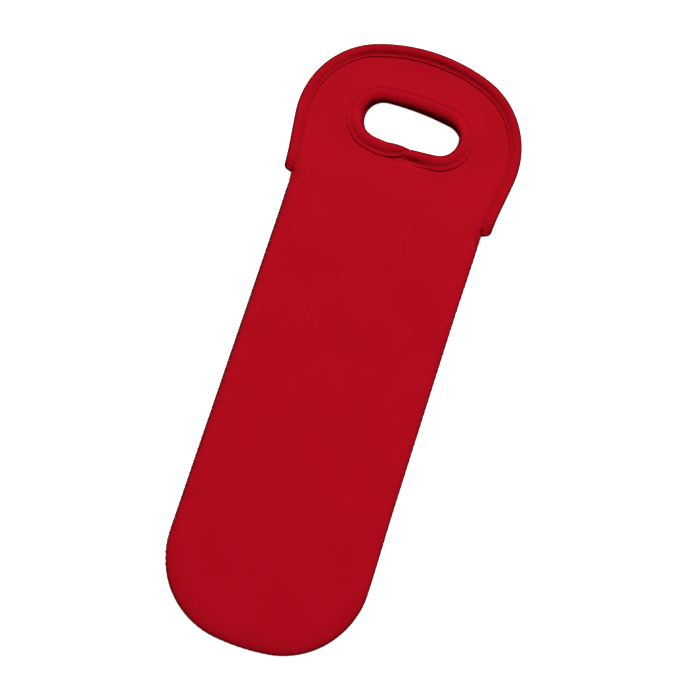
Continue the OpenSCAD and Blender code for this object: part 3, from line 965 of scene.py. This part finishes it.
def seam_loops():
    """The side seam's thread, with a loop over the edge at every stitch."""
    lift, front_in = seam_shape("front")[:2]
    back_in = seam_shape("back")[1]
    half = len(outline) // 2
    right = np.arange(half + 1)
    left = np.r_[0, np.arange(len(outline) - 1, half - 1, -1)]
    last_s = outline_s[outline[:, 1] < MOUTH_Y - 3 * MM].max()
    parts = []
    for sign, index, first in ((1, right, 0), (-1, left, 1)):
        stations = np.column_stack([outline, outline_out, front_in, back_in, lift])[index]
        for i in range(first, int(last_s / SEAM_STITCH) + 1):
            at = i * SEAM_STITCH
            x, y, out_x, out_y, *shape = (np.interp(at, outline_s[index], v) for v in stations.T)
            out = np.array([out_x, out_y]) / math.hypot(out_x, out_y)
            along = np.array([-out[1], out[0]]) * sign
            path = seam_loop(np.array([x, y]), out, along, *shape)
            d = unit(np.gradient(path, axis=0))
            across = unit(np.cross(d, [*along, 0.0]))
            ring, faces = tube(path, across, np.cross(d, across), np.full(len(path), SEAM_THREAD_R))
            parts.append((ring, faces, cloth_of(ring, 0, np.arange(len(path))[:, None] * MM + at)))
    return joined(parts)


# Materials


def preset(node, **inputs):
    """Values of a node's inputs, whose names have _ for each space."""
    for name, value in inputs.items():
        node.inputs[name.replace("_", " ")].default_value = value


class Nodes:
    """The node tree of a new material or world, with short ways to add to it."""

    def __init__(self, owner):
        owner.use_nodes = True
        self.owner, self.tree = owner, owner.node_tree
        self.shader = self.tree.nodes.get("Principled BSDF")

    def add(self, kind, **values):
        node = self.tree.nodes.new(kind)
        for key, value in values.items():
            setattr(node, key, value)
        return node

    def link(self, source, target):
        self.tree.links.new(source, target)

    def maths(self, operation, *inputs):
        node = self.add("ShaderNodeMath", operation=operation)
        for socket, value in zip(node.inputs, inputs):
            if isinstance(value, (int, float)):
                socket.default_value = value
            else:
                self.link(value, socket)
        return node.outputs[0]

    def noise(self, vector, scale, detail, roughness=0.5):
        node = self.add("ShaderNodeTexNoise")
        self.link(vector, node.inputs["Vector"])
        preset(node, Scale=scale, Detail=detail, Roughness=roughness)
        return node.outputs["Fac"]

    def ramp(self, value, stops):
        node = self.add("ShaderNodeValToRGB")
        while len(node.color_ramp.elements) < len(stops):
            node.color_ramp.elements.new(0.5)
        for element, (place, colour) in zip(node.color_ramp.elements, stops):
            element.position = place
            element.color = (*colour, 1)
        self.link(value, node.inputs["Fac"])
        return node.outputs["Color"]

    def bump(self, height, strength, distance):
        node = self.add("ShaderNodeBump")
        preset(node, Strength=strength, Distance=distance)
        self.link(height, node.inputs["Height"])
        self.link(node.outputs["Normal"], self.shader.inputs["Normal"])

    def on_cloth(self):
        """The place on the piece's own cloth, and its parts across and along it."""
        place = self.add("ShaderNodeAttribute", attribute_name="cloth").outputs["Vector"]
        apart = self.add("ShaderNodeSeparateXYZ")
        self.link(place, apart.inputs[0])
        return place, apart.outputs["X"], apart.outputs["Y"]

    def looked_at(self):
        """1 for what the camera sees, also in gloss and glass, and 0 for light on the carrier."""
        kind = self.add("ShaderNodeLightPath").outputs
        seen = self.maths("MAXIMUM", kind["Is Camera Ray"], kind["Is Glossy Ray"])
        return self.maths("MAXIMUM", seen, kind["Is Transmission Ray"])


def linear(*rgb):
    """A screen's colour, from 0 to 255, as Blender wants it."""
    return tuple((c / 255 / 12.92) if c <= 10 else ((c / 255 + 0.055) / 1.055) ** 2.4 for c in rgb)


# The colour of painted shade, in the seam's valley and on the tapes' rolled edges
SHADE_COLOUR = linear(70, 4, 10)


def knit(name, dark, light, wale, course, depth):
    """A plain knit: columns of small V stitches, with a little fuzz and unevenness."""
    n = Nodes(bpy.data.materials.new(name))
    place, x, y = n.on_cloth()
    column = n.maths("FRACT", n.maths("DIVIDE", x, wale))
    column = n.maths("ABSOLUTE", n.maths("SUBTRACT", column, 0.5))
    slope = n.maths("MULTIPLY_ADD", column, 1.6, n.maths("DIVIDE", y, course))
    loop = n.maths("MULTIPLY_ADD", n.maths("SINE", n.maths("MULTIPLY", slope, TURN)), 0.5, 0.5)
    rib = n.maths("COSINE", n.maths("MULTIPLY", n.maths("SUBTRACT", column, 0.25), TURN))
    rib = n.maths("MULTIPLY_ADD", rib, 0.5, 0.5)
    stitch = n.maths("MULTIPLY", loop, rib)
    fuzz = n.noise(place, 2600, 3, 0.6)
    n.bump(n.maths("MULTIPLY_ADD", fuzz, 0.5, stitch), 0.55, depth)
    # Lighter on the stitches as painted light on their raised loops, with slow and fine unevenness, and
    # painted shade where the mesh says so
    patch = n.noise(place, 28, 3)
    fine = n.noise(place, 420, 2)
    tone = n.maths("MULTIPLY_ADD", patch, 0.45, n.maths("MULTIPLY", fine, 0.33))
    tone = n.maths("MULTIPLY_ADD", stitch, 0.22, tone)
    shown = n.add("ShaderNodeAttribute", attribute_name="dark").outputs["Fac"]
    colour = n.add("ShaderNodeMix", data_type="RGBA")
    n.link(shown, colour.inputs["Factor"])
    n.link(n.ramp(tone, [(0.2, dark), (0.8, light)]), colour.inputs[6])
    colour.inputs[7].default_value = (*SHADE_COLOUR, 1)
    n.link(colour.outputs[2], n.shader.inputs["Base Color"])
    n.link(n.maths("MULTIPLY_ADD", fine, 0.14, 0.74), n.shader.inputs["Roughness"])
    preset(n.shader, Specular_IOR_Level=0.04, Sheen_Weight=0.06, Sheen_Roughness=0.5)
    preset(n.shader, Sheen_Tint=(1, 0.02, 0.06, 1))
    return n.owner


def twisted_thread(name, dark, light, lay):
    """A sewing thread, whose twist comes round once over each lay."""
    n = Nodes(bpy.data.materials.new(name))
    x, y = n.on_cloth()[1:]
    turn = n.maths("MULTIPLY_ADD", y, TURN / lay, x)
    ply = n.maths("MULTIPLY_ADD", n.maths("SINE", turn), 0.5, 0.5)
    n.bump(ply, 0.5, 0.08 * MM)
    # Darker between the plies: painted shade in the twist's grooves
    n.link(n.ramp(ply, [(0, dark), (1, light)]), n.shader.inputs["Base Color"])
    preset(n.shader, Roughness=0.6, Specular_IOR_Level=0.08)
    return n.owner


face_knit = knit("face_knit", linear(168, 6, 23), linear(184, 10, 31), 0.85 * MM, 0.62 * MM, 0.10 * MM)
tape_knit = knit("tape_knit", linear(166, 5, 22), linear(184, 9, 29), 0.80 * MM, 0.60 * MM, 0.12 * MM)
sewing_thread = twisted_thread("sewing_thread", linear(128, 5, 15), linear(172, 11, 24), 0.7 * MM)


# The pieces, front and back

# How much painted shade a tape's outermost fold gets
FOLD_SHADE = 0.6


def bend_with(piece):
    """Bakes the piece's place into its points; nothing attaches it to a body or bends it at the fold."""
    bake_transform(piece)


def rim_tape(side, seed):
    """The tape round a flap's rim, as tape_pieces takes it."""
    tight = rim_course.out[:, 1] ** 2
    flat = 0 * tight
    rim = tape_surface(rim_course, RIM_SIZES, seed, tight, flat, flat, 1 - tight)
    wide = SIDE_WIDER * rim_course.out[:, 0] ** 2
    shaped, lining = (
        laid(rim_course, bound_rim(*shape, side), side, RIM_SAG_START, flat, wide)
        for shape in (rim, slot_lining(*rim))
    )
    near = np.minimum(rim_course.s, rim_course.length - rim_course.s)
    # Painted shade on the outermost fold, deeper towards the ends, where the tape turns down
    return rim_course, shaped, lining, side, FOLD_SHADE + 0.35 * end_share(near)


def grip_tape(side, seed):
    """The tape round a hand hole, as tape_pieces takes it."""
    course = Course(grip_line(side))
    leant = lean_share(side, course.out)
    flat = 0 * leant
    # The thin edge stands up under the hole, and most of all to the left
    stands = np.clip(course.out[:, 1], 0, 1) * mix(1.7, 1.0, smooth(course.points[:, 0], -10 * MM, 5 * MM))
    grip = tape_surface(course, GRIP_SIZES, seed, flat + 0.5, leant, stands, flat)
    shaped, lining = (
        laid(course, lapped(*shape, course), side, HOLE_SAG_START, leant, flat)
        for shape in (grip, slot_lining(*grip))
    )
    # Painted shade on the outermost fold, none where the roll leans into the hole, fading in from the lap's
    # free end
    return course, shaped, lining, side, FOLD_SHADE * (1 - leant) * smooth(course.s, 2 * MM, 9 * MM)


def tape_pieces(kind, course, shaped, lining, side, edge_shade):
    """A tape, and the threads in the grooves of its two faces, as two pieces."""
    surface = tape_mesh(course, shaped, lining, side, edge_shade)
    tape = make_mesh(side + kind + "_tape", surface, tape_knit)
    last = shaped[0].shape[1] - 1
    grooves = ((GROOVE_MIDDLE, 1), (last - GROOVE_MIDDLE, -1))
    threads = joined([stitch_row(course, shaped, column, face, side) for column, face in grooves])
    return tape, make_mesh(side + kind + "_stitches", threads, sewing_thread)


for side, seed in (("front", 100), ("back", 200)):
    flap = side + "_handle"
    sheet_piece = make_mesh(side + "_panel", panel(side), face_knit)
    bend_with(sheet_piece)
    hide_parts(side + "_sleeve_panel", side + "_handle_panel")

    tape, thread = tape_pieces("_rim", *rim_tape(side, seed))
    bend_with(tape)
    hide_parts(side + "_rim_binding")
    bend_with(thread)
    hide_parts(side + "_rim_thread")

    tape, thread = tape_pieces("_grip", *grip_tape(side, seed + 50))
    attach(tape, flap)
    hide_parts(side + "_grip_binding")
    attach(thread, flap)
    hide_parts(side + "_grip_thread")

seam = make_mesh("side_seam_stitches", seam_loops(), sewing_thread)
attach(seam, "sleeve")
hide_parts("side_seam_thread")


# Floor, light and camera

TILT = math.radians(18.2)
VIEW_CENTRE = (7.89 * MM, 3.76 * MM)
VIEW_W = 0.49388
VIEW_DISTANCE = 0.62
SILHOUETTE_Z = 6 * MM
SENSOR_W = 36
FLOOR_W = 8
FLOOR_Z = -0.0002
SKY_LIGHT = 0.06

bpy.ops.mesh.primitive_plane_add(size=FLOOR_W, location=(0, 0, FLOOR_Z))
floor = bpy.context.object
floor.name = "floor"

# The floor is white paper to the camera and reflects little on the carrier
paper = Nodes(bpy.data.materials.new("paper"))
seen = paper.add("ShaderNodeBsdfDiffuse")
preset(seen, Color=(0.85, 0.85, 0.85, 1))
glow = paper.add("ShaderNodeEmission")
preset(glow, Strength=0.92)
both = paper.add("ShaderNodeAddShader")
paper.link(seen.outputs[0], both.inputs[0])
paper.link(glow.outputs[0], both.inputs[1])
unseen = paper.add("ShaderNodeBsdfDiffuse")
preset(unseen, Color=(0.1, 0.1, 0.1, 1))
choice = paper.add("ShaderNodeMixShader")
paper.link(paper.looked_at(), choice.inputs[0])
paper.link(unseen.outputs[0], choice.inputs[1])
paper.link(both.outputs[0], choice.inputs[2])
paper.link(choice.outputs[0], paper.tree.nodes["Material Output"].inputs["Surface"])
floor.data.materials.append(paper.owner)

# The world is white to the camera and lights the carrier faintly
world = bpy.data.worlds.new("studio")
bpy.context.scene.world = world
sky = Nodes(world)
background = sky.tree.nodes["Background"]
preset(background, Color=(1, 1, 1, 1))
level = sky.add("ShaderNodeMix")
preset(level, A=SKY_LIGHT, B=1)
sky.link(sky.looked_at(), level.inputs["Factor"])
sky.link(level.outputs["Result"], background.inputs["Strength"])


def softbox(name, place, power, size):
    """An area light over or beside the carrier, aimed at its middle."""
    light = bpy.data.lights.new(name, "AREA")
    light.shape = "RECTANGLE"
    light.size, light.size_y = size
    light.energy = power
    lamp = in_scene(name, light)
    lamp.location = place
    lamp.rotation_mode = "QUATERNION"
    lamp.rotation_quaternion = (-lamp.location).to_track_quat("-Z", "Y")


softbox("main_box", (0.0, 3.6, 4.6), 392, (2.2, 1.8))
softbox("left_box", (-0.9, 0.1, 0.8), 0.8, (0.5, 0.8))
softbox("right_box", (0.9, 0.1, 0.8), 0.8, (0.5, 0.8))

# The camera looks straight down, and what is VIEW_W wide at the silhouette's height fills the picture
camera_data = bpy.data.cameras.new("camera")
camera = in_scene("camera", camera_data)
camera_data.sensor_width = SENSOR_W
camera_data.lens = SENSOR_W * (VIEW_DISTANCE - SILHOUETTE_Z) / VIEW_W
camera_data.clip_start = 0.01
camera.location = (*VIEW_CENTRE, VIEW_DISTANCE)
camera.rotation_euler = (0, 0, TILT)
bpy.context.scene.camera = camera
bpy.context.scene.view_settings.view_transform = "Standard"
